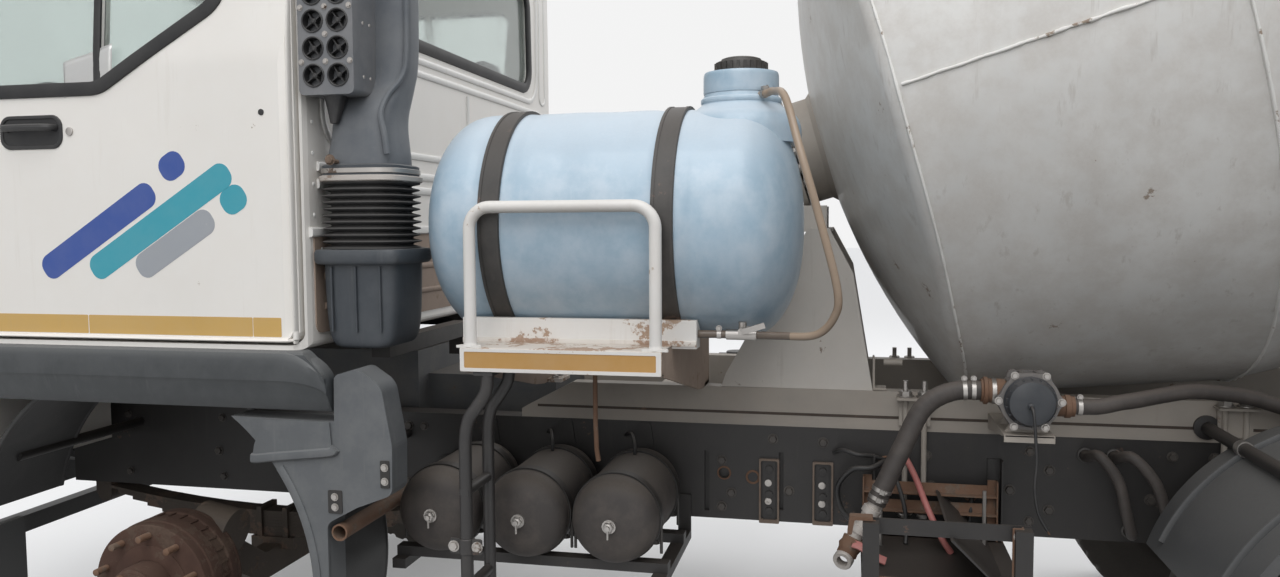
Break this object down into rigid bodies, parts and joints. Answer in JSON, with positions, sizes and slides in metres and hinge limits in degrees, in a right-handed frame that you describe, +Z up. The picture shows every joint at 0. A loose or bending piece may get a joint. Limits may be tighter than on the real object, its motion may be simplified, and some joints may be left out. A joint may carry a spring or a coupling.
{
  "type": "concrete mixer truck",
  "caption": "Cab-over concrete mixer truck with a tilting cab, steered front axle, twin rear wheels, a turning drum on rollers, side water tank, and a folding discharge chute.",
  "frame": {"origin": "on the floor under the middle of the truck's bounding box", "axes": "+X forward, +Y to the truck's left, +Z up"},
  "size_m": [8.5345, 2.98, 3.86],
  "materials": {
    "frame_black": "black chassis paint under dust",
    "mixer_grey": "light grey paint, chalked and stained",
    "drum_paint": "off-white paint, dirty, with cement splashes",
    "blade_steel": "bare steel worn by concrete",
    "roller_steel": "bare worn steel",
    "engine_iron": "oily cast iron",
    "axle_iron": "rusty black paint",
    "spring_steel": "rusty spring steel",
    "dark_plastic": "sun-bleached dark grey plastic",
    "lamp_lens": "clear and red lamp lenses",
    "tank_blue": "faded blue moulded tank",
    "black_fittings": "black rubber and plastic",
    "white_frame": "white paint with rust",
    "black_tube": "black painted tube",
    "air_tank_black": "black paint under brown dust",
    "pump_iron": "grey cast iron",
    "hose_rubber": "black rubber hose",
    "cable_sheath": "black cable sheath",
    "tank_alloy": "dull aluminium",
    "silencer_rust": "heat-stained rusty steel",
    "cab_white": "white paint, dirty and chalked",
    "cab_glazing": "slightly green glass",
    "cab_cloth": "dark cloth and moulded plastic",
    "mirror_black": "black plastic",
    "hub_rust": "bare rusty iron",
    "wheel_steel": "dirty silver-grey paint",
    "tyre_rubber": "worn dusty tyre",
    "chute_grey": "grey paint worn to steel",
    "cylinder_rod": "plated rod"
  },
  "bodies": {
    "root": {"frame_rails": "frame_black", "subframe": "mixer_grey", "drum_pedestals": "mixer_grey", "driveline": "engine_iron", "front_axle": "axle_iron", "rear_axles": "axle_iron", "leaf_springs": "spring_steel", "bumper": "dark_plastic", "lamps": "lamp_lens", "front_mudguards": "dark_plastic", "air_filter_box": "dark_plastic", "water_tank": "tank_blue", "tank_fittings": "black_fittings", "tank_platform": "white_frame", "tank_ladder": "black_tube", "air_tanks": "air_tank_black", "carriers": "frame_black", "water_pump": "pump_iron", "water_hoses": "hose_rubber", "loose_cable": "cable_sheath", "fuel_tank": "tank_alloy", "silencer": "silencer_rust", "rear_mudguards": "dark_plastic", "rear_bar": "frame_black", "feed_hopper": "mixer_grey", "collector": "mixer_grey"},
    "cab": {"cab_shell": "cab_white", "cab_glass": "cab_glazing", "cab_trim": "dark_plastic", "air_intake": "dark_plastic", "cab_interior": "cab_cloth", "cab_mirrors": "mirror_black"},
    "door_left": {"door_left": "cab_white", "door_glass_left": "cab_glazing"},
    "door_right": {"door_right": "cab_white", "door_glass_right": "cab_glazing"},
    "knuckle_left": {"knuckle_left": "axle_iron"},
    "knuckle_right": {"knuckle_right": "axle_iron"},
    "hub_left": {"hub_left": "hub_rust"},
    "wheel_front": {"wheel_front": "wheel_steel", "tyre_front": "tyre_rubber"},
    "wheel_rear_1": {"wheels_rear_1": "wheel_steel", "tyres_rear_1": "tyre_rubber"},
    "wheel_rear_2": {"wheels_rear_2": "wheel_steel", "tyres_rear_2": "tyre_rubber"},
    "wheel_rear_3": {"wheels_rear_3": "wheel_steel", "tyres_rear_3": "tyre_rubber"},
    "wheel_rear_4": {"wheels_rear_4": "wheel_steel", "tyres_rear_4": "tyre_rubber"},
    "drum": {"drum_shell": "drum_paint", "drum_blades": "blade_steel"},
    "roller_left": {"roller_left": "roller_steel"},
    "roller_right": {"roller_right": "roller_steel"},
    "chute_mount": {"chute_mount": "mixer_grey"},
    "chute": {"chute_trough": "chute_grey"},
    "chute_extension": {"chute_extension": "chute_grey"},
    "lift_barrel": {"lift_barrel": "black_tube"},
    "lift_rod": {"lift_rod": "cylinder_rod"}
  },
  "joints": [
    {"name": "cab_tilt", "type": "hinge", "parent": "root", "child": "cab", "pos_m": [4.115, 0, 0.83], "axis": [0, 1, 0], "range_deg": [0, 60]},
    {"name": "door_left_swing", "type": "hinge", "parent": "cab", "child": "door_left", "pos_m": [3.666, 1.208, 1.9], "axis": [0, 0, -1], "range_deg": [0, 75]},
    {"name": "door_right_swing", "type": "hinge", "parent": "cab", "child": "door_right", "pos_m": [3.666, -1.208, 1.9], "axis": [0, 0, 1], "range_deg": [0, 75]},
    {"name": "steer_left", "type": "hinge", "parent": "root", "child": "knuckle_left", "pos_m": [2.975, 0.87, 0.525], "axis": [0, 0, 1], "range_deg": [-35, 35]},
    {"name": "steer_right", "type": "hinge", "parent": "root", "child": "knuckle_right", "pos_m": [2.975, -0.87, 0.525], "axis": [0, 0, 1], "range_deg": [-35, 35]},
    {"name": "hub_left_spin", "type": "hinge", "parent": "knuckle_left", "child": "hub_left", "pos_m": [2.975, 1.03, 0.525], "axis": [0, 1, 0], "continuous": true},
    {"name": "wheel_front_spin", "type": "hinge", "parent": "knuckle_right", "child": "wheel_front", "pos_m": [2.975, -1.03, 0.525], "axis": [0, 1, 0], "continuous": true},
    {"name": "wheel_rear_1_spin", "type": "hinge", "parent": "root", "child": "wheel_rear_1", "pos_m": [-0.625, 0.93, 0.525], "axis": [0, 1, 0], "continuous": true},
    {"name": "wheel_rear_2_spin", "type": "hinge", "parent": "root", "child": "wheel_rear_2", "pos_m": [-0.625, -0.93, 0.525], "axis": [0, 1, 0], "continuous": true},
    {"name": "wheel_rear_3_spin", "type": "hinge", "parent": "root", "child": "wheel_rear_3", "pos_m": [-2.005, 0.93, 0.525], "axis": [0, 1, 0], "continuous": true},
    {"name": "wheel_rear_4_spin", "type": "hinge", "parent": "root", "child": "wheel_rear_4", "pos_m": [-2.005, -0.93, 0.525], "axis": [0, 1, 0], "continuous": true},
    {"name": "drum_spin", "type": "hinge", "parent": "root", "child": "drum", "pos_m": [-0.63689, 0, 2.39346], "axis": [-0.9613, 0, 0.2756], "continuous": true},
    {"name": "roller_left_spin", "type": "hinge", "parent": "root", "child": "roller_left", "pos_m": [-2.46264, 0.54333, 2.01244], "axis": [-0.9613, 0, 0.2756], "continuous": true},
    {"name": "roller_right_spin", "type": "hinge", "parent": "root", "child": "roller_right", "pos_m": [-2.46264, -0.54333, 2.01244], "axis": [-0.9613, 0, 0.2756], "continuous": true},
    {"name": "chute_swing", "type": "hinge", "parent": "root", "child": "chute_mount", "pos_m": [-3.33, 0, 1], "axis": [0, 0, 1], "range_deg": [-90, 90]},
    {"name": "chute_tilt", "type": "hinge", "parent": "chute_mount", "child": "chute", "pos_m": [-3.33, 0, 1.5], "axis": [0, 1, 0], "range_deg": [-24, 8]},
    {"name": "chute_fold", "type": "hinge", "parent": "chute", "child": "chute_extension", "pos_m": [-4.24546, 0, 1.67884], "axis": [0, -1, 0], "range_deg": [0, 180]},
    {"name": "lift_pivot", "type": "hinge", "parent": "chute_mount", "child": "lift_barrel", "pos_m": [-3.45, 0, 1.08], "axis": [0, 1, 0], "range_deg": [-19.35, 6.78]},
    {"name": "lift_stroke", "type": "slide", "parent": "lift_barrel", "child": "lift_rod", "axis": [-0.8013, 0, 0.5983], "range_m": [-0.1777, 0.0606]}
  ],
  "couplings": [
    {"joint": "steer_right", "follows": "steer_left", "ratio": 1},
    {"joint": "lift_pivot", "follows": "chute_tilt", "ratio": 0.7856},
    {"joint": "lift_stroke", "follows": "chute_tilt", "m_per_rad": 0.4195}
  ]
}
